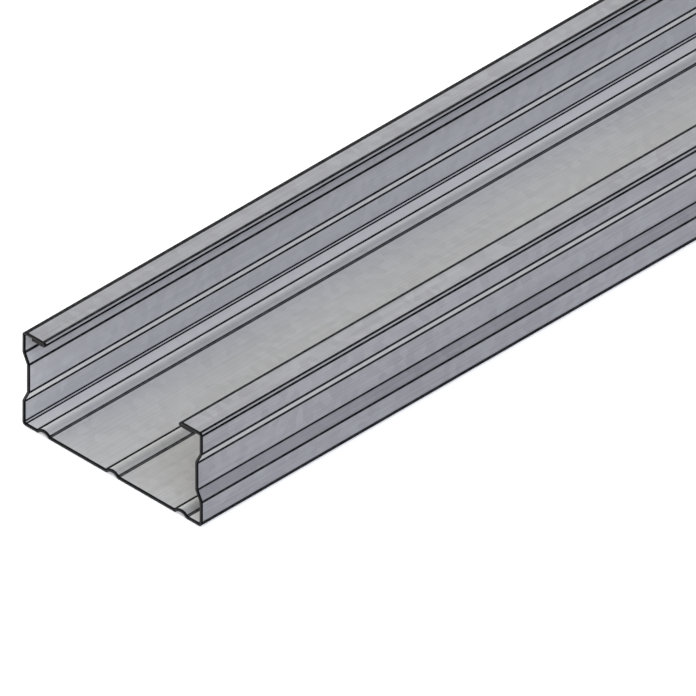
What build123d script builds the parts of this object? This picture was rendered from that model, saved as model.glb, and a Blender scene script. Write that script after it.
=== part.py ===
from build123d import *

import math
import os

# A ceiling channel: one strip of thin zinc-coated steel, roll-formed into a shallow open
# section and cut to a stock length. It lies on its web with the open side up.
# X runs across the web, Y along the length and Z up. The origin is the middle of the
# web's underside, half way along. Lengths are in millimetres.

# The strip and the outside of the section
channel_length = 3000.0
web_width = 60.0  # over the outsides of the two side walls
side_height = 27.0  # from the web's underside to the top of the lips
gauge = 0.6  # thickness of the strip
corner_inner_radius = 0.3  # inside the four bends of 90 degrees

# Three ribs pressed up along the web: one in the middle and one beside each wall
side_rib_inset = 7.0  # from the outside of a wall to the middle of its rib
rib_width = 4.4  # from where one foot leaves the web to where the other meets it
rib_height = 0.9
rib_foot_inner_radius = 0.35

# The side walls, each with a wide groove pressed in. The floor of the groove is upright
# and takes the height that the other stretches leave.
wall_foot_height = 7.0  # from the web's underside up to the lowest crease
wall_head_height = 6.0  # from the top of the lip down to the highest crease
groove_slope_height = 3.0
groove_depth = 1.5
crease_inner_radius = 0.4

# The lips turn inwards, and their edges are folded back flat underneath
lip_width = 7.6  # from the outside of the wall to the outside of the fold
hem_clearance = 2.6  # from the strip's folded edge to the inside of the wall
hem_gap = 0.1  # between the lip and the edge folded under it

# The section is drawn as the strip's middle line, so every bend is given the radius there
half_gauge = gauge / 2
corner_radius = corner_inner_radius + half_gauge
crease_radius = crease_inner_radius + half_gauge
fold_radius = (gauge + hem_gap) / 2
web_level = half_gauge
lip_level = side_height - half_gauge
wall_line = web_width / 2 - half_gauge
groove_line = wall_line - groove_depth
side_rib_line = web_width / 2 - side_rib_inset

# A rib is a crown between two feet, three arcs that meet without a kink. These follow
# from its width and height, and the crown takes the radius that the feet leave over.
rib_steepness = 2 * math.degrees(math.atan2(2 * rib_height, rib_width))
foot_radius = rib_foot_inner_radius + half_gauge
crown_radius = rib_width / 2 / math.sin(math.radians(rib_steepness)) - foot_radius

# The creases at the edges of the groove's floor, and the one above it
groove_bottom = wall_foot_height + groove_slope_height
highest_crease = side_height - wall_head_height
groove_top = highest_crease - groove_slope_height

# Where the flat of the lip ends and its fold begins, and the flat of the folded edge
fold_reach = fold_radius + half_gauge
fold_start = web_width / 2 - lip_width + fold_reach
hem_flat = lip_width - gauge - hem_clearance - fold_reach


def rib_up(start):
    """The near foot of a rib, from the flat web up to the rib's steepest point."""
    return JernArc(start, tangent=(1, 0), radius=foot_radius, arc_size=rib_steepness)


def rib_crown(start, tangent, turn):
    """The crown of a rib, or the half of it that comes down from the top."""
    return JernArc(start, tangent, radius=crown_radius, arc_size=-turn)


def rib_down(crown):
    """The far foot, from the end of the crown back to the flat web."""
    return JernArc(crown @ 1, crown % 1, radius=foot_radius, arc_size=rib_steepness)


with BuildPart() as channel:
    with BuildSketch(Plane.XZ) as section:
        with BuildLine() as middle_line:
            # The right half of the web, from the top of the middle rib outwards
            middle_crown = rib_crown((0, web_level + rib_height), (1, 0), rib_steepness)
            middle_foot = rib_down(middle_crown)
            inner_flat = Line(middle_foot @ 1, (side_rib_line - rib_width / 2, web_level))
            near_foot = rib_up(inner_flat @ 1)
            side_crown = rib_crown(near_foot @ 1, near_foot % 1, 2 * rib_steepness)
            far_foot = rib_down(side_crown)

            # The rest of the web, the grooved wall and the lip, bent from one line
            wall_and_lip = FilletPolyline(
                far_foot @ 1,
                (wall_line, web_level),
                (wall_line, wall_foot_height),
                (groove_line, groove_bottom),
                (groove_line, groove_top),
                (wall_line, highest_crease),
                (wall_line, lip_level),
                (fold_start, lip_level),
                radius=[corner_radius, *[crease_radius] * 4, corner_radius],
            )

            # The lip's edge, folded back on itself
            fold = JernArc(wall_and_lip @ 1, (-1, 0), radius=fold_radius, arc_size=180)
            Line(fold @ 1, fold @ 1 + Vector(hem_flat, 0))

            mirror(about=Plane.YZ)
        trace(line_width=gauge)
    extrude(amount=channel_length / 2, both=True)

channel.part.label = "channel"

os.makedirs("parts", exist_ok=True)
export_step(channel.part, "parts/channel.step")

strip_width = sum(stretch.length for stretch in middle_line.edges())
print(f"strip {strip_width:.2f} mm wide before forming, section {section.sketch.area:.2f} mm2")
print(f"rib crown radius {crown_radius:.2f} mm, steepness {rib_steepness:.1f} degrees")
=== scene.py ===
# %% [markdown]
# # A ceiling channel in galvanised steel
#
# The object is a stock length of the channel that a hung plasterboard ceiling is screwed to.
# A mill dips a wide coil of thin steel in molten zinc and slits it into strips, and a line of
# rollers bends one strip into the section. So the whole object is a single sheet with bends
# along it, cut off square at both ends. It has no second part and no joint.
#
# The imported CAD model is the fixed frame. The sheet is built over it in the same place, from
# the same sizes, and then gets its finish, the light and the camera.

# %% Load the frame
import math

import bmesh
import bpy
import numpy as np
from mathutils import Matrix, Vector


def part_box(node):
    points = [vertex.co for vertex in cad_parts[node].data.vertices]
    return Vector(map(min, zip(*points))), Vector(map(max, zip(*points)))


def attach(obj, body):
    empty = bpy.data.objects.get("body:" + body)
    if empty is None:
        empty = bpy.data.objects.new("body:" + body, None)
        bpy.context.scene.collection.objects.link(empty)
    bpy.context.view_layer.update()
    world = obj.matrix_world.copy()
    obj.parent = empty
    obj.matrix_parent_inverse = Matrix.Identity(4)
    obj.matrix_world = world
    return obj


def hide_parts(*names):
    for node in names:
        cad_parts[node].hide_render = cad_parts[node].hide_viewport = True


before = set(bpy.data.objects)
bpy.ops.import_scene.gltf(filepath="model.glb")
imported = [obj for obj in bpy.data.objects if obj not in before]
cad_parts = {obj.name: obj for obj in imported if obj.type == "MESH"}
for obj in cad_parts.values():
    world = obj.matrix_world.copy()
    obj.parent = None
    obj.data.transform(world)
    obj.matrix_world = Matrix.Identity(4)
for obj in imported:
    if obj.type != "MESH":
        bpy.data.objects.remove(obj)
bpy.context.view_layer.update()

# %% [markdown]
# ## The line that the strip is bent along
#
# Seen from its end the channel is one thin strip bent 25 times. The way to draw it is by the
# strip's middle line, which isn't stretched by the bending: a chain of straight runs, with a
# radius given to each corner. The corners are few and say what the section is, so they are
# written here, and the rounding is left to Geometry Nodes.

# %% Sizes of the section, in metres
mm = 0.001
lowest, highest = (Vector(corner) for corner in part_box("channel"))
web_width, channel_length, side_height = (round(size, 6) for size in highest - lowest)
gauge = 0.6 * mm

corner_radius = 0.6 * mm  # all radii are those of the middle line
crease_radius = 0.7 * mm
fold_radius = 0.35 * mm
foot_radius = 0.65 * mm

rib_width = 4.4 * mm
rib_height = 0.9 * mm
side_rib_inset = 7 * mm
groove_depth = 1.5 * mm
crease_heights = [7 * mm, 10 * mm, 18 * mm, 21 * mm]
lip_width = 7.6 * mm
hem_clearance = 2.6 * mm

web_level = gauge / 2
lip_level = side_height - gauge / 2
wall_line = web_width / 2 - gauge / 2
groove_line = wall_line - groove_depth
side_rib_line = web_width / 2 - side_rib_inset
print(f"middle line: web at {web_level / mm:.2f}, walls at {wall_line / mm:.2f} mm")

# %% [markdown]
# A rib is a crown between two feet. Each foot turns by one angle and the crown turns back by
# twice that. The angle follows from the rib's width and height, and the crown takes the radius
# that makes the three arcs meet. The corner of an arc is where its two end tangents cross.

# %% Sizes that follow from those
steepness = 2 * math.atan2(2 * rib_height, rib_width)
crown_radius = rib_width / 2 / math.sin(steepness) - foot_radius
foot_reach = rib_width / 2 - foot_radius * math.tan(steepness / 2)
apex_level = web_level + foot_reach * math.tan(steepness)

fold_line = web_width / 2 - lip_width + gauge / 2
hem_level = lip_level - 2 * fold_radius
hem_edge = wall_line - gauge / 2 - hem_clearance
print(f"ribs {math.degrees(steepness):.1f} degrees steep, crown radius {crown_radius / mm:.2f} mm")

# %% [markdown]
# ## Dark lines and painted light
#
# The rolls leave faint marks in the bends. Here every bend gets a dark line, far darker and
# wider than such marks: partly a roll mark, partly painted shade in the crease. Some faces also
# get painted light or painted shade, lighter or darker than plain zinc because of how the light
# falls on them. Both are one number: -1 in a dark line, 0 on plain zinc, 1 where painted light
# makes it nearly white. Each skin has a number of its own. The marks could be painted over the
# finished mesh. As numbers on the points of the line they stay in their bends when a size changes.
#
# A tight bend is dark all over, a little less in the right foot of a rib. A square corner is
# dark on its two shoulders, and the fold of a lip above and below. So a bend is a list of parts,
# each with its share of the turn and with the number there for the outer and the inner skin.
#
# Every rib gets painted shading on the inner skin of its crown: painted light on the left part
# and painted shade on the right part, as if lit from the left. The rib by the left wall gets the
# strongest.

# %% The dark lines of each kind of bend, and the painted shading of the ribs
# dark lines: partly roll marks, partly painted shade in the creases
pressed_and_shaded, pressed_and_shaded_less, plain = -1.0, -0.88, 0.0
tight = [(1.0, pressed_and_shaded, pressed_and_shaded)]
right_foot = [(1.0, pressed_and_shaded, pressed_and_shaded_less)]
shoulder = [(0.2, pressed_and_shaded, pressed_and_shaded), (0.16, pressed_and_shaded, plain)]
square = [*shoulder, (0.28, plain, plain), *reversed(shoulder)]
fold_over = [(0.28, pressed_and_shaded, plain), (0.4, plain, plain), (0.32, pressed_and_shaded, plain)]
fold_under = [(1.0, pressed_and_shaded, plain)]

left_flank, right_flank = 0.17, 0.06
# painted shading across the rib crowns, light on the left and shade on the right
painted_shading_left_rib = (1.0, 0.7, 0.22, -0.1, -0.24, -0.18)
painted_shading_other_ribs = (0.65, 0.2, -0.12, -0.27, -0.34, -0.27)


def crown(inner_painted_shading):
    """The crown of a rib, dark where it leaves its feet, with this painted shading in between."""
    share = (1 - left_flank - right_flank) / len(inner_painted_shading)
    return [
        (left_flank, plain, pressed_and_shaded),
        *[(share, plain, inner_lines_and_painted_light) for inner_lines_and_painted_light in inner_painted_shading],
        (right_flank, plain, pressed_and_shaded),
    ]


print("parts of a crown:", [(round(share, 2), lines_and_painted_light) for share, _, lines_and_painted_light in crown(painted_shading_other_ribs)])

# %% [markdown]
# Between the bends the zinc is plain, but for a few runs that get painted light and shade.
# The sloping sides of the groove that lean down get painted light, the lower one on the inner skin
# and the upper one on the outer, and the lower one gets a little painted shade on the outer skin,
# where it leans up. The web gets a little painted light beside the walls, where shade falls, the
# most at the left, and a trace of painted shade right of its middle.

# %% Painted light and shade of the straight runs, on the outer and the inner skin
# painted light on the slopes that lean down, painted shade on the one that leans up
low_slope, head_slope = (-0.19, 1.0), (0.31, 0.03)
left_strip, right_strip = (plain, 0.4), (plain, 0.14)
web_right = (plain, -0.04)


def painted_light_of(run, middle):
    """The painted light and shade of both skins half way along a straight run, from its direction
    and place.
    """
    if min(abs(run.x), abs(run.y)) > gauge:
        return low_slope if middle.y < side_height / 2 else head_slope
    if middle.y > gauge or -side_rib_line < middle.x < 0:
        return plain, plain
    if middle.x < 0:
        return left_strip
    return right_strip if middle.x > side_rib_line else web_right


print(f"lower slope {low_slope}, upper slope {head_slope}, beside the left wall {left_strip}")

# %% [markdown]
# The corners of the right wall and lip follow, from the web upwards. The last two numbers say
# how far a dark line goes on beside the bend, on the outer and inner skin. The left side
# mirrors them, but the dark line outside its lip corner goes on further. The three ribs lie in
# between.

# %% The corners of the section
right_side = [  # across, up, bend radius, kind of bend, line beside it outside and inside
    (wall_line, web_level, corner_radius, square, 0.55 * mm, 0.4 * mm),
    (wall_line, crease_heights[0], crease_radius, tight, 0.05 * mm, 0.3 * mm),
    (groove_line, crease_heights[1], crease_radius, tight, 0.14 * mm, 0.18 * mm),
    (groove_line, crease_heights[2], crease_radius, tight, 0.34 * mm, 0.05 * mm),
    (wall_line, crease_heights[3], crease_radius, tight, 0.22 * mm, 0.24 * mm),
    (wall_line, lip_level, corner_radius, square, 0.08 * mm, 0.37 * mm),
    (fold_line, lip_level, fold_radius, fold_over, 0.5 * mm, 0.0),
    (fold_line, hem_level, fold_radius, fold_under, 0.2 * mm, 0.0),
    (hem_edge, hem_level, 0.0, [], 0.0, 0.0),
]
left_side = [
    (-x, z, radius, bend[::-1], *lines) for x, z, radius, bend, *lines in reversed(right_side)
]
left_lip = 3  # the corner where the left wall turns into its lip
left_lip_lines = (0.68 * mm, 0.37 * mm)
left_side[left_lip] = (*left_side[left_lip][:4], *left_lip_lines)
ribs = [
    corner
    for rib_line, inner_painted_shading in (
        (-side_rib_line, painted_shading_left_rib),
        (0.0, painted_shading_other_ribs),
        (side_rib_line, painted_shading_other_ribs),
    )
    for corner in (
        (rib_line - foot_reach, web_level, foot_radius, tight, 0.2 * mm, 0.31 * mm),
        (rib_line, apex_level, crown_radius, crown(inner_painted_shading), 0.0, 0.0),
        (rib_line + foot_reach, web_level, foot_radius, right_foot, 0.2 * mm, 0.25 * mm),
    )
]
corners = [*left_side, *ribs, *right_side]
print(f"{len(corners)} corners")

# %% [markdown]
# A bend in parts is drawn as a chain of smaller bends of the same radius, which touch and make
# the same arc. A straight run gets a few points near both of its ends, where the dark lines and
# the painted light change.
# Neither alters the shape.

# %% Two helpers for the dark lines and the painted light
line_fade = 0.1 * mm  # over which a pressed line ends


def shape_bend(index):
    """The parts of a bend as smaller corners, and the points where it begins and ends."""
    corner = Vector(corners[index][:2])
    radius, bend = corners[index][2:4]
    if not bend:
        return [(*corner, 0.0, plain, plain)], corner, corner
    heading = (corner - Vector(corners[index - 1][:2])).normalized()
    leaving = (Vector(corners[index + 1][:2]) - corner).normalized()
    turn = math.atan2(heading.cross(leaving), heading.dot(leaving))
    begins = ends = corner - heading * radius * math.tan(abs(turn) / 2)
    parts = []
    for share, outer_lines_and_painted_light, inner_lines_and_painted_light in bend:
        step = radius * math.tan(share * abs(turn) / 2)
        part = ends + heading * step
        heading = Matrix.Rotation(share * turn, 2) @ heading
        ends = part + heading * step
        parts.append((*part, radius, outer_lines_and_painted_light, inner_lines_and_painted_light))
    return parts, begins, ends


def line_and_light_beside(distance, line, lines_and_painted_light):
    """The dark line and painted light of a run at a distance from its bend, given the bend's line
    beside it.
    """
    faded = (distance - line) / line_fade if line > 0 else 1.0
    return pressed_and_shaded + (lines_and_painted_light - pressed_and_shaded) * min(max(faded, 0.0), 1.0)


bends = [shape_bend(index) for index in range(len(corners))]
print("smaller corners:", sum(len(parts) for parts, _, _ in bends))

# %% The whole line, with its dark lines and painted light at every point
shortest_run = 1 * mm  # a shorter run gets no points of its own
end_gap = 0.02 * mm  # from a bend to the first point of a run

bend_line = []
for index, (parts, _, leaves) in enumerate(bends[:-1]):
    bend_line += parts
    run = bends[index + 1][1] - leaves
    if run.length < shortest_run:
        continue
    base = painted_light_of(run, leaves + run / 2)
    lines_after, lines_before = corners[index][4:], corners[index + 1][4:]
    stops = {end_gap, run.length - end_gap}
    for line in lines_after:
        stops |= {line, line + line_fade} if line > 0 else set()
    for line in lines_before:
        stops |= {run.length - line, run.length - line - line_fade} if line > 0 else set()
    for stop in sorted({round(stop, 8) for stop in stops}):
        lines_and_painted_light_of_skins = [
            min(
                line_and_light_beside(stop, lines_after[skin], base[skin]),
                line_and_light_beside(run.length - stop, lines_before[skin], base[skin]),
            )
            for skin in (0, 1)
        ]
        bend_line.append((*(leaves + run * (stop / run.length)), 0.0, *lines_and_painted_light_of_skins))
bend_line += bends[-1][0]
print(f"{len(bend_line)} points along the section")

# %% [markdown]
# Mesh to Curve reads a chain of edges as a curve and keeps what is stored on its points. The
# radii are a five-hundredth small. Two bends that meet then keep a hair of straight sheet
# between them, so no two points of the curve fall together and the sweep can't twist.

# %% The section as a chain of edges
radius_share = 0.998

section = bpy.data.meshes.new("section_line")
section.from_pydata(
    [(point[0], 0.0, point[1]) for point in bend_line],
    [(index, index + 1) for index in range(len(bend_line) - 1)],
    [],
)
for name, column, factor in (  # a point's columns after its place across and up
    # the last two columns are the dark lines and painted light of each skin
    ("bend_radius", 2, radius_share),
    ("outer_lines_and_painted_light", 3, 1.0),
    ("inner_lines_and_painted_light", 4, 1.0),
):
    attribute = section.attributes.new(name, "FLOAT", "POINT")
    attribute.data.foreach_set("value", [point[column] * factor for point in bend_line])
channel = bpy.data.objects.new("roll_formed_channel", section)
bpy.context.scene.collection.objects.link(channel)
print(f"section line of {len(section.vertices)} points and {len(section.edges)} edges")

# %% [markdown]
# ## Materials
#
# One function turns a colour as it is written on a screen into the linear numbers that the
# shaders reckon with. One other adds a node, sets it up and joins it to those before it.

# %% Two helpers for materials


def linear(code):
    """An sRGB hex colour as linear red, green, blue and an alpha of 1."""
    channels = [int(code[start : start + 2], 16) / 255 for start in (1, 3, 5)]
    return (*[c / 12.92 if c <= 0.04045 else ((c + 0.055) / 1.055) ** 2.4 for c in channels], 1.0)


def add(tree, kind, inputs=None, **settings):
    """Add one node, with its settings and with a value or another node's output per input."""
    node = tree.nodes.new(kind)
    for name, value in settings.items():
        setattr(node, name, value)
    for socket, value in (inputs or {}).items():
        if isinstance(value, bpy.types.NodeSocket):
            tree.links.new(value, node.inputs[socket])
        else:
            node.inputs[socket].default_value = value
    return node


print("mid grey in linear light:", round(linear("#808080")[0], 3))

# %% [markdown]
# ### Hot-dip galvanised sheet
#
# Zinc freezes on the steel as flat crystals, the spangle. On thin sheet for roll-forming it is
# kept fine, one to three millimetres, and rolled down to a satin, so a crystal shows only as a
# slightly lighter or darker patch. The forming rolls leave faint streaks along the length, and
# air and hands a cloudy film. The inner skin is painted a paler grey than the outer one: painted
# light, which makes up for the shade that falls inside the channel. A picture of real zinc would
# repeat along three metres of sheet, and patterns made by nodes never do.
#
# The patterns read the UV map "Strip", which is the flat strip before forming in real
# metres, so a crystal or a streak runs over a bend as it does on the sheet. Real streaks are a
# few hundredths of a millimetre wide. They are drawn half a millimetre wide, so that they show.

# %% The zinc's own patterns, measured on the flat strip
galvanised = bpy.data.materials.new("hot_dip_galvanised_steel")
galvanised.use_nodes = True
tree = galvanised.node_tree
tree.nodes.clear()

strip = add(tree, "ShaderNodeUVMap", uv_map="Strip").outputs["UV"]
in_mm = add(tree, "ShaderNodeVectorMath", {0: strip, "Scale": 1 / mm}, operation="SCALE")
flat_strip = in_mm.outputs["Vector"]

crystal_size = 2.2  # mm
crystals = add(
    tree,
    "ShaderNodeTexVoronoi",
    {"Vector": flat_strip, "Scale": 1 / crystal_size, "Randomness": 1.0},
    voronoi_dimensions="2D",
)
crystal = add(tree, "ShaderNodeSeparateColor", {"Color": crystals.outputs["Color"]})

streak_width, streak_length = 0.5, 70.0  # mm
streak_space = add(
    tree,
    "ShaderNodeVectorMath",
    {0: flat_strip, 1: (1 / streak_width, 1 / streak_length, 1.0)},
    operation="MULTIPLY",
)
streaks = add(
    tree,
    "ShaderNodeTexNoise",
    {"Vector": streak_space.outputs[0], "Scale": 1.0, "Detail": 3.0, "Roughness": 0.6},
    noise_dimensions="2D",
)
cloud_size = 40.0  # mm
film = add(
    tree,
    "ShaderNodeTexNoise",
    {"Vector": flat_strip, "Scale": 1 / cloud_size, "Detail": 4.0, "Roughness": 0.55},
    noise_dimensions="2D",
)
print(f"crystals {crystal_size} mm, streaks {streak_width} by {streak_length} mm")

# %% [markdown]
# The three patterns are added up to one tone. It picks the shade between a darker and a
# lighter zinc, and makes the lighter patches the smoother ones, as they are on real spangle.
#
# A colour Mix node has its factor on socket 0, its two colours on 6 and 7, and its result on
# output 2. One that mixes plain numbers has them on 2 and 3, and its result on output 0.

# %% From the patterns to a colour
crystal_share, streak_share, film_share = 0.3, 0.9, 0.45
dark_tone, light_tone = 0.52, 1.13  # the tones that get the darker and the lighter shade
# the inner skin is painted lighter, against the shade inside the channel
outer_shades, inner_shades_painted_lighter = ("#98989C", "#A7A7AB"), ("#C2C2C4", "#D0D0D2")

tone = add(
    tree, "ShaderNodeMath", {0: crystal.outputs["Red"], 1: crystal_share}, operation="MULTIPLY"
).outputs[0]
for pattern, share in ((streaks, streak_share), (film, film_share)):
    tone = add(
        tree, "ShaderNodeMath", {0: pattern.outputs[0], 1: share, 2: tone}, operation="MULTIPLY_ADD"
    ).outputs[0]
patch = add(
    tree, "ShaderNodeMapRange", {"Value": tone, "From Min": dark_tone, "From Max": light_tone}
).outputs["Result"]

outer_zinc, inner_zinc_painted_lighter = (
    add(
        tree,
        "ShaderNodeMix",
        {0: patch, 6: linear(darker), 7: linear(lighter)},
        data_type="RGBA",
    ).outputs[2]
    for darker, lighter in (outer_shades, inner_shades_painted_lighter)
)
which_skin = add(tree, "ShaderNodeAttribute", attribute_name="inside").outputs["Fac"]
zinc = add(
    tree, "ShaderNodeMix", {0: which_skin, 6: outer_zinc, 7: inner_zinc_painted_lighter}, data_type="RGBA"
).outputs[2]
print("shades of the outer skin:", *outer_shades, "and of the inner skin:", *inner_shades_painted_lighter)

# %% [markdown]
# The dark lines are nearly black: partly crazed zinc with the dull black alloy under it showing,
# partly painted shade in the creases. They are broken up a little along their length, as the
# pressure of a roll is. Where a blade cut the channel off, it bruised the zinc in the same way
# along the rim. Painted light makes the zinc nearly white. Lines and rim are drawn as dark and as
# wide as they need to be to show the section from afar, which is more than on most real sheet.
#
# Clamped to 0 and above, the number gives the painted light, and with its sign changed the dark
# lines.

# %% The dark lines, the painted light and the rim of the cut
outer_lines_and_painted_light = add(tree, "ShaderNodeAttribute", attribute_name="outer_lines_and_painted_light").outputs["Fac"]
inner_lines_and_painted_light = add(tree, "ShaderNodeAttribute", attribute_name="inner_lines_and_painted_light").outputs["Fac"]
lines_and_painted_light = add(tree, "ShaderNodeMix", {0: which_skin, 2: outer_lines_and_painted_light, 3: inner_lines_and_painted_light}).outputs[0]
# above 0 it is painted light; below 0 the dark lines, partly painted crease shade
painted_light_share = add(tree, "ShaderNodeMath", {0: lines_and_painted_light, 1: 1.0}, operation="MULTIPLY", use_clamp=True)
press_and_crease_shade = add(tree, "ShaderNodeMath", {0: lines_and_painted_light, 1: -1.0}, operation="MULTIPLY", use_clamp=True)

craze_size = 1.5  # mm
craze = add(
    tree,
    "ShaderNodeTexNoise",
    {"Vector": flat_strip, "Scale": 1 / craze_size, "Detail": 3.0},
    noise_dimensions="2D",
)
bite = add(
    tree,
    "ShaderNodeMapRange",
    {"Value": craze.outputs[0], "From Min": 0.35, "From Max": 0.65, "To Min": 0.95, "To Max": 1.0},
)
bitten = add(
    tree,
    "ShaderNodeMath",
    {0: press_and_crease_shade.outputs[0], 1: bite.outputs["Result"]},
    operation="MULTIPLY",
)

rim_width, rim_fade = 0.58, 0.05  # mm
rim_begins = channel_length / 2 / mm - rim_width
along_strip = add(tree, "ShaderNodeSeparateXYZ", {0: flat_strip}).outputs["Y"]
from_middle = add(tree, "ShaderNodeMath", {0: along_strip}, operation="ABSOLUTE").outputs[0]
rim = add(
    tree,
    "ShaderNodeMapRange",
    {"Value": from_middle, "From Min": rim_begins, "From Max": rim_begins + rim_fade},
).outputs["Result"]
dark = add(
    tree, "ShaderNodeMath", {0: bitten.outputs[0], 1: rim}, operation="MAXIMUM"
).outputs[0]
print(f"rim {rim_width} mm wide at both cuts")

# %% [markdown]
# A dull film of oxide covers the zinc, so the finish is less than a third metal and its
# highlights are broad. The black of the lines, alloy and painted crease shade, isn't metal at all,
# so that they stay dark at a glancing angle too. The streaks stand a few thousandths of a
# millimetre proud, and the sheet has slow waves about a tenth deep, which follow the film. Both
# break the light up a little.

# %% The finished galvanised steel
# near white for the painted highlights, black for the lines and the crease shade
painted_highlight_zinc, black_alloy_and_crease_shade = linear("#FCFBF8"), linear("#08080A")
dark_roughness, light_roughness = 0.66, 0.54  # of the darker and the lighter patches
metal_share = 0.3  # 1 would be bare metal
streak_height, wave_height = 0.004 * mm, 0.12 * mm

zinc_with_painted_light = add(
    tree,
    "ShaderNodeMix",
    {0: painted_light_share.outputs[0], 6: zinc, 7: painted_highlight_zinc},
    data_type="RGBA",
).outputs[2]
surface = add(
    tree, "ShaderNodeMix", {0: dark, 6: zinc_with_painted_light, 7: black_alloy_and_crease_shade}, data_type="RGBA"
).outputs[2]
roughness = add(
    tree,
    "ShaderNodeMapRange",
    {"Value": patch, "To Min": dark_roughness, "To Max": light_roughness},
).outputs["Result"]
metal = add(
    tree, "ShaderNodeMapRange", {"Value": dark, "To Min": metal_share, "To Max": 0.0}
).outputs["Result"]
relief = add(
    tree,
    "ShaderNodeBump",
    {"Height": streaks.outputs[0], "Distance": streak_height, "Strength": 1.0},
)
waves = add(
    tree,
    "ShaderNodeBump",
    {"Height": film.outputs[0], "Distance": wave_height, "Normal": relief.outputs[0]},
)
steel = add(
    tree,
    "ShaderNodeBsdfPrincipled",
    {
        "Base Color": surface,
        "Metallic": metal,
        "Roughness": roughness,
        "Specular IOR Level": 0.05,
        "Normal": waves.outputs[0],
    },
)
add(tree, "ShaderNodeOutputMaterial", {"Surface": steel.outputs["BSDF"]})
print(f"{galvanised.name}: {len(tree.nodes)} nodes")

# %% [markdown]
# ### The cut edge
#
# A shear cuts the coil into strips and each length off the line. Its blade first rolls the
# edge over, then burnishes a grey band, and then the rest of the thickness breaks off rough
# and dark. So a cut 0.6 mm thick reads as a grey line between two black ones. The attribute
# "depth" says where in the thickness a point lies, from -1 to 1. Noise makes it ragged, and it
# is then moved to run from 0 to 1, as the places on a Color Ramp do.

# %% Bare sheared steel
bare = bpy.data.materials.new("bare_sheared_steel")
bare.use_nodes = True
tree = bare.node_tree
tree.nodes.clear()
depth = add(tree, "ShaderNodeAttribute", attribute_name="depth").outputs["Fac"]
solid_place = add(tree, "ShaderNodeTexCoord").outputs["Object"]
tear_size, tear_reach = 0.4 * mm, 0.5  # the reach is a share of half the thickness
tears = add(
    tree, "ShaderNodeTexNoise", {"Vector": solid_place, "Scale": 1 / tear_size, "Detail": 2.0}
)
ragged = add(
    tree,
    "ShaderNodeMath",
    {0: tears.outputs[0], 1: tear_reach, 2: depth},
    operation="MULTIPLY_ADD",
).outputs[0]
bands = add(
    tree,
    "ShaderNodeMapRange",
    {"Value": ragged, "From Min": tear_reach / 2 - 1, "From Max": tear_reach / 2 + 1},
)
cut = add(tree, "ShaderNodeValToRGB", {"Fac": bands.outputs["Result"]})
rim_black, burnished, torn = (linear(code) for code in ("#0A0A0B", "#434345", "#1A1A1B"))
first, last = cut.color_ramp.elements
first.position, first.color = 0.12, rim_black
last.position, last.color = 0.9, rim_black
for ramp_place, colour in ((0.34, burnished), (0.46, burnished), (0.6, torn)):
    cut.color_ramp.elements.new(ramp_place).color = colour
cut_steel = add(
    tree,
    "ShaderNodeBsdfPrincipled",
    {"Base Color": cut.outputs["Color"], "Metallic": 0.6, "Roughness": 0.6},
)
add(tree, "ShaderNodeOutputMaterial", {"Surface": cut_steel.outputs["BSDF"]})
print(f"{bare.name}: {len(tree.nodes)} nodes")

# %% [markdown]
# ## Rolling the channel in Geometry Nodes
#
# The shape follows one rule, so a node tree makes it: round the corners of the line, then
# sweep the strip's own cross-cut along it. Here that cross-cut is the sheet seen along its
# width, a rectangle three metres long and 0.6 mm thick. The sweep goes round the section, and
# everything along the length comes from the rectangle. Solidify on a bent sheet would give the
# same form, but a sweep also tells how far across the strip each point lies.

# %% The node tree and its inputs
rolling = bpy.data.node_groups.new("roll_forming", "GeometryNodeTree")
rolling.interface.new_socket("Section Line", in_out="INPUT", socket_type="NodeSocketGeometry")
sizes = {}
edge_rounding, steps_per_bend = 0.05 * mm, 8
for name, kind, value in (
    ("Gauge", "NodeSocketFloat", gauge),
    ("Length", "NodeSocketFloat", channel_length),
    ("Edge Rounding", "NodeSocketFloat", edge_rounding),
    ("Steps per Bend", "NodeSocketInt", steps_per_bend),
    ("Sheet Finish", "NodeSocketMaterial", galvanised),
    ("Cut Edge Finish", "NodeSocketMaterial", bare),
):
    sizes[rolling.interface.new_socket(name, in_out="INPUT", socket_type=kind).identifier] = value
rolling.interface.new_socket("Channel", in_out="OUTPUT", socket_type="NodeSocketGeometry")
given = add(rolling, "NodeGroupInput").outputs
print("inputs:", [socket.name for socket in given if socket.name])

# %% Round the corners and measure along the strip
section_curve = add(rolling, "GeometryNodeMeshToCurve", {0: given["Section Line"]})
radii = add(rolling, "GeometryNodeInputNamedAttribute", {0: "bend_radius"}, data_type="FLOAT")
rounded = add(
    rolling,
    "GeometryNodeFilletCurve",
    {
        "Curve": section_curve.outputs[0],
        "Count": given["Steps per Bend"],
        "Radius": radii.outputs["Attribute"],
    },
    mode="POLY",
)
along_curve = add(rolling, "GeometryNodeSplineParameter")
measured = add(rolling, "GeometryNodeCaptureAttribute", {0: rounded.outputs[0]}, domain="POINT")
measured.capture_items.new("FLOAT", "Across")
rolling.links.new(along_curve.outputs["Length"], measured.inputs[1])
print("kept on the curve:", [item.name for item in measured.capture_items])

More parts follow.
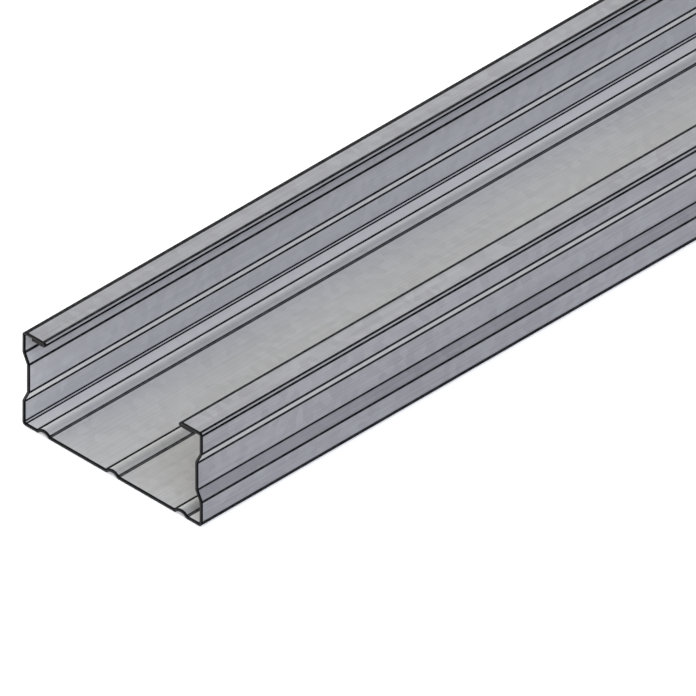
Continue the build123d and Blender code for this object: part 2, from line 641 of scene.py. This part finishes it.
# %% The sheet's cross-cut, with the edges that the shear has rolled over
rectangle = add(
    rolling,
    "GeometryNodeCurvePrimitiveQuadrilateral",
    {"Width": given["Length"], "Height": given["Gauge"]},
)
eased_edges = add(
    rolling,
    "GeometryNodeFilletCurve",
    {"Curve": rectangle.outputs[0], "Count": 2, "Radius": given["Edge Rounding"]},
    mode="POLY",
)
position = add(rolling, "GeometryNodeInputPosition")
cross_cut = add(
    rolling, "GeometryNodeCaptureAttribute", {0: eased_edges.outputs[0]}, domain="POINT"
)
cross_cut.capture_items.new("VECTOR", "Place")
rolling.links.new(position.outputs[0], cross_cut.inputs[1])
swept = add(
    rolling,
    "GeometryNodeCurveToMesh",
    {"Curve": measured.outputs[0], "Profile Curve": cross_cut.outputs[0], "Fill Caps": True},
)
print(f"cross-cut {channel_length:.1f} m long and {gauge / mm:.1f} mm thick")

# %% [markdown]
# The UV map "Strip" unrolls the sheet: metres across the strip, and metres along it. The two
# skins would get the same pattern, so the inner one is moved over by half a metre.

# %% The flat strip as a UV map
skin_gap = 0.5
place = add(rolling, "ShaderNodeSeparateXYZ", {0: cross_cut.outputs[1]})
is_inside = add(
    rolling, "ShaderNodeMath", {0: place.outputs["Y"], 1: 0.0}, operation="LESS_THAN"
)
across_both = add(
    rolling,
    "ShaderNodeMath",
    {0: is_inside.outputs[0], 1: skin_gap, 2: measured.outputs[1]},
    operation="MULTIPLY_ADD",
)
unrolled = add(
    rolling, "ShaderNodeCombineXYZ", {"X": across_both.outputs[0], "Y": place.outputs["X"]}
)
mapped = add(
    rolling,
    "GeometryNodeStoreNamedAttribute",
    {"Geometry": swept.outputs[0], "Name": "Strip", "Value": unrolled.outputs[0]},
    data_type="FLOAT2",
    domain="CORNER",
)
print("UV map stored on face corners")

# %% Two values that the finishes read
sided = add(
    rolling,
    "GeometryNodeStoreNamedAttribute",
    {"Geometry": mapped.outputs[0], "Name": "inside", "Value": is_inside.outputs[0]},
    data_type="FLOAT",
    domain="FACE",
)
half_gauge = add(rolling, "ShaderNodeMath", {0: given["Gauge"], 1: 0.5}, operation="MULTIPLY")
in_thickness = add(
    rolling,
    "ShaderNodeMath",
    {0: place.outputs["Y"], 1: half_gauge.outputs[0]},
    operation="DIVIDE",
)
stored = add(
    rolling,
    "GeometryNodeStoreNamedAttribute",
    {"Geometry": sided.outputs[0], "Name": "depth", "Value": in_thickness.outputs[0]},
    data_type="FLOAT",
    domain="POINT",
)
print("stored: inside on faces, depth on points")

# %% [markdown]
# The cut faces are told from the skins by what they are. The two ends face along the length,
# and the slit edges are the caps of the sweep, the only faces with more than four corners.

# %% Finishes, and the end of the tree
facing_enough = 0.3  # how much of a cut end's normal points along the channel, at least
swept_corners = 4  # of every face of the sweep, apart from its caps

smooth = add(rolling, "GeometryNodeSetShadeSmooth", {"Geometry": stored.outputs[0]})
normal = add(rolling, "GeometryNodeInputNormal")
facing = add(rolling, "ShaderNodeSeparateXYZ", {0: normal.outputs[0]})
facing_end = add(rolling, "ShaderNodeMath", {0: facing.outputs["Y"]}, operation="ABSOLUTE")
end_face = add(
    rolling,
    "ShaderNodeMath",
    {0: facing_end.outputs[0], 1: facing_enough},
    operation="GREATER_THAN",
)
neighbours = add(rolling, "GeometryNodeInputMeshFaceNeighbors")
slit_edge = add(
    rolling,
    "ShaderNodeMath",
    {0: neighbours.outputs["Vertex Count"], 1: swept_corners},
    operation="GREATER_THAN",
)
cut_face = add(
    rolling,
    "ShaderNodeMath",
    {0: end_face.outputs[0], 1: slit_edge.outputs[0]},
    operation="MAXIMUM",
)
realised = add(rolling, "GeometryNodeRealizeInstances", {0: smooth.outputs[0]})
zinc_set = add(
    rolling,
    "GeometryNodeSetMaterial",
    {"Geometry": realised.outputs[0], "Material": given["Sheet Finish"]},
)
edges_set = add(
    rolling,
    "GeometryNodeSetMaterial",
    {
        "Geometry": zinc_set.outputs[0],
        "Selection": cut_face.outputs[0],
        "Material": given["Cut Edge Finish"],
    },
)
add(rolling, "NodeGroupOutput", {0: edges_set.outputs[0]})
print(f"{rolling.name}: {len(rolling.nodes)} nodes")

# %% [markdown]
# A modifier's inputs are set by each socket's identifier before the object is first worked
# out. Weighted Normal after it lets the wide flats decide the shading, so they stay flat up
# to where a bend begins and only the bends look round.

# %% Roll the channel and turn it into a plain mesh
forming = channel.modifiers.new("roll_forming", "NODES")
forming.node_group = rolling
for identifier, value in sizes.items():
    forming[identifier] = value
shading = channel.modifiers.new("flat_runs", "WEIGHTED_NORMAL")
shading.weight = 100
shading.keep_sharp = True

depsgraph = bpy.context.evaluated_depsgraph_get()
rolled = bpy.data.meshes.new_from_object(
    channel.evaluated_get(depsgraph), preserve_all_data_layers=True, depsgraph=depsgraph
)
channel.modifiers.clear()
channel.data = rolled
rolled.name = "roll_formed_channel"
print(f"{len(rolled.vertices)} points, {len(rolled.polygons)} faces")

# %% [markdown]
# ## A square layout of the sheet
#
# The finish can also be kept as one square picture, for programs that don't know these nodes.
# The UV map "OFBake" lays the sheet out for that. All lines run along the channel, so the
# square is spent on the width of the strip: each skin gets the full width of the picture and
# nearly half of its height. The cut ends get a band along its top and bottom, and the two slit
# edges of the strip a band up each side.

# %% Read the mesh, corner by corner


def read(items, name, kind, width=1):
    """One value of every item of a mesh, as an array, or one array for each of its parts."""
    values = np.empty(len(items) * width, kind)
    items.foreach_get(name, values)
    return values if width == 1 else values.reshape(-1, width).T


across, along = read(rolled.attributes["Strip"].data, "vector", np.float32, 2)
across = across % skin_gap
across = across / across.max()
along = along / channel_length + 0.5
corner_point = read(rolled.loops, "vertex_index", np.int32)
corner_depth = read(rolled.attributes["depth"].data, "value", np.float32)[corner_point]
corner_total = read(rolled.polygons, "loop_total", np.int32)
skin, finish, corner_count = (
    np.repeat(values, corner_total)
    for values in (
        read(rolled.attributes["inside"].data, "value", np.float32),
        read(rolled.polygons, "material_index", np.int32),
        corner_total,
    )
)
print(f"{len(across)} corners")

# %% Lay it out in a square
skin_left, skin_width = 0.01, 0.98
skin_bottom, skin_height, skin_step = 0.02, 0.47, 0.49
end_bands, end_half = (0.0075, 0.9925), 0.006  # the bands' middles, and half their width
slit_bands, slit_half = (0.003, 0.997), 0.002

is_cut = finish == rolled.materials.find(bare.name)
is_slit = corner_count > swept_corners
u = skin_left + skin_width * across
v = skin_bottom + skin_height * along + skin_step * skin
v = np.where(is_cut, np.where(along < 0.5, *end_bands) + end_half * corner_depth, v)
u = np.where(is_slit, np.where(across < 0.5, *slit_bands) + slit_half * corner_depth, u)
v = np.where(is_slit, along, v)
layout = rolled.uv_layers.new(name="OFBake")
layout.uv.foreach_set("vector", np.column_stack([u, v]).astype(np.float32).ravel())
print(f"layout from {u.min():.3f}, {v.min():.3f} to {u.max():.3f}, {v.max():.3f}")

# %% [markdown]
# ## Into the frame
#
# The mesh is the skin of a solid sheet, so each of its edges should join two faces, and none
# may be open. The channel rides on the only body and takes the place of the CAD solid, which is
# hidden.

# %% Measure the mesh and tell the frame about it
body = bmesh.new()
body.from_mesh(rolled)
open_edges = sum(not edge.is_manifold for edge in body.edges)
volume = body.calc_volume(signed=True) / mm**3
body.free()
print(f"{open_edges} open edges, {volume:.0f} mm3 of sheet")

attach(channel, "root")
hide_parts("channel")

# %% [markdown]
# ## Floor, light and camera
#
# ### The floor
#
# The channel lies on a wide sheet of matt white paper. Light Path lifts the paper a little for
# the camera and for reflections alone. That brings it up to white without any more light on the
# channel, and its soft shadow stays. The paper lies a tenth of a millimetre below the web,
# because two faces in one plane would show through each other.

# %% The floor
paper = bpy.data.materials.new("white_paper_floor")
paper.use_nodes = True
tree = paper.node_tree
tree.nodes.clear()
matte = add(
    tree,
    "ShaderNodeBsdfPrincipled",
    {"Base Color": linear("#FCFCFC"), "Roughness": 0.9, "Specular IOR Level": 0.0},
)
paper_lift = 0.34
ray = add(tree, "ShaderNodeLightPath").outputs
shown = add(
    tree,
    "ShaderNodeMath",
    {0: ray["Is Camera Ray"], 1: ray["Is Glossy Ray"]},
    operation="MAXIMUM",
)
lift = add(tree, "ShaderNodeMath", {0: shown.outputs[0], 1: paper_lift}, operation="MULTIPLY")
backlight = add(tree, "ShaderNodeEmission", {"Strength": lift.outputs[0]})
paper_shader = add(tree, "ShaderNodeAddShader", {0: matte.outputs[0], 1: backlight.outputs[0]})
add(tree, "ShaderNodeOutputMaterial", {"Surface": paper_shader.outputs[0]})

half_floor, floor_level = 9.0, -0.1 * mm
quarters = ((-1, -1), (1, -1), (1, 1), (-1, 1))
floor_mesh = bpy.data.meshes.new("floor")
floor_mesh.from_pydata(
    [(x * half_floor, y * half_floor, floor_level) for x, y in quarters], [], [(0, 1, 2, 3)]
)
floor_mesh.materials.append(paper)
floor = bpy.data.objects.new("floor", floor_mesh)
bpy.context.scene.collection.objects.link(floor)
print(f"floor {2 * half_floor:.0f} m wide")

# %% [markdown]
# ### The light
#
# Three soft lights do what an even studio does. A large round softbox hangs high on the right
# and a little in front. It is steep enough to reach the bottom of the channel past the right
# lip, and it lights the right wall and the inside of the left one. A bright window low on the
# left, behind, is mirrored in all that faces up. The ceiling lights that too. It is a little
# warmer than the softbox, so the lips and the web look neutral and the upright sides bluish.
#
# Lamps beside the channel would light one part of its length more than the rest. So all three
# are part of the world and infinitely far off, which lights the whole length alike. Each is
# brightest in its middle and fades to nothing at its rim.

# %% The softbox, the window and the ceiling
world = bpy.data.worlds.new("studio")
bpy.context.scene.world = world
world.use_nodes = True
tree = world.node_tree
tree.nodes.clear()
seen = add(tree, "ShaderNodeTexCoord").outputs["Generated"]


def towards(azimuth, elevation):
    """A direction, from degrees anticlockwise from +X and degrees above the horizon."""
    turned, raised = math.radians(azimuth), math.radians(elevation)
    level = Vector((math.cos(turned), math.sin(turned), 0))
    return level * math.cos(raised) + Vector((0, 0, math.sin(raised)))


lights = (  # middle, cosine of the angle from there to the rim, colour and strength
    (towards(-25, 42), 0.81, (3.53, 3.65, 4.1)),  # the softbox
    (towards(123, 0), 0.82, (9.3, 9.3, 9.3)),  # the window
    (towards(195, 81), 0.77, (2.14, 2.1, 1.88)),  # the ceiling
)
glow = (0.0, 0.0, 0.0)
for light_middle, light_rim, colour in lights:
    nearness = add(
        tree, "ShaderNodeVectorMath", {0: seen, 1: light_middle}, operation="DOT_PRODUCT"
    )
    spread = add(
        tree,
        "ShaderNodeMapRange",
        {"Value": nearness.outputs["Value"], "From Min": light_rim, "From Max": 1.0},
        interpolation_type="SMOOTHSTEP",
    )
    glow = add(
        tree,
        "ShaderNodeVectorMath",
        {0: spread.outputs["Result"], 1: colour, 2: glow},
        operation="MULTIPLY_ADD",
    ).outputs[0]
sky = add(tree, "ShaderNodeBackground", {"Color": glow})
add(tree, "ShaderNodeOutputWorld", {"Surface": sky.outputs[0]})
print(f"{world.name}: {len(lights)} lights, {len(tree.nodes)} nodes")

# %% [markdown]
# ### The camera
#
# It looks along the diagonal between the three axes, so that width, length and height all show
# at one scale, and it has no perspective, so that the long edges stay parallel. What it aims at
# is measured from the near end's lower left corner, to the right and up in the picture.

# %% The camera
aim_right, aim_up, picture_width = 77.187 * mm, 18.036 * mm, 164.956 * mm
camera_distance = 3.0

right = Vector((1, 1, 0)).normalized()
back = Vector((1, -1, 1)).normalized()
up = back.cross(right)
near_corner = Vector((-web_width / 2, -channel_length / 2, 0.0))
stand = near_corner + right * aim_right + up * aim_up + back * camera_distance
turned_to_face = Matrix((right, up, back)).transposed().to_4x4()

camera_data = bpy.data.cameras.new("camera")
camera_data.type = "ORTHO"
camera_data.ortho_scale = picture_width
camera_data.clip_start = 0.01
camera_data.clip_end = 50.0
camera = bpy.data.objects.new("camera", camera_data)
camera.matrix_world = Matrix.Translation(stand) @ turned_to_face
bpy.context.scene.collection.objects.link(camera)
bpy.context.scene.camera = camera
bpy.context.scene.view_settings.view_transform = "Standard"
print(f"picture {picture_width / mm:.1f} mm wide")
